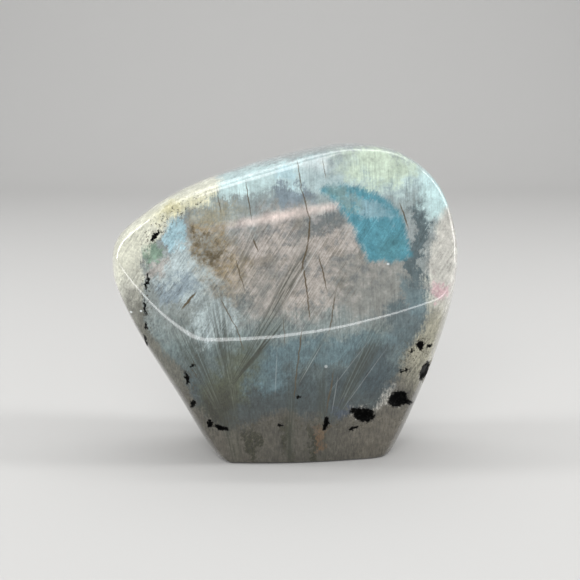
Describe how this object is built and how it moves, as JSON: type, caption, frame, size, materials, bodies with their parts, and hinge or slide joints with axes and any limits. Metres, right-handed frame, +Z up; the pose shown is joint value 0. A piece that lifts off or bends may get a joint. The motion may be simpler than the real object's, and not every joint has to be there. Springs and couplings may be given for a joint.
{
  "type": "labradorite freeform",
  "caption": "Free-standing polished labradorite stone with a leaning, gently domed main face, a blunt side nose and a flat sawn base.",
  "frame": {"origin": "on the surface that the stone stands on, under the middle of its bounding box", "axes": "+Z up, -Y the way the main polished face looks, +X to the right seen from the front"},
  "size_m": [0.1036, 0.0384, 0.095],
  "materials": {
    "labradorite": "hand-polished grey feldspar with blue, turquoise and pale yellow flash, brown healed cracks and black grains"
  },
  "bodies": {
    "root": {"stone": "labradorite"}
  },
  "joints": []
}
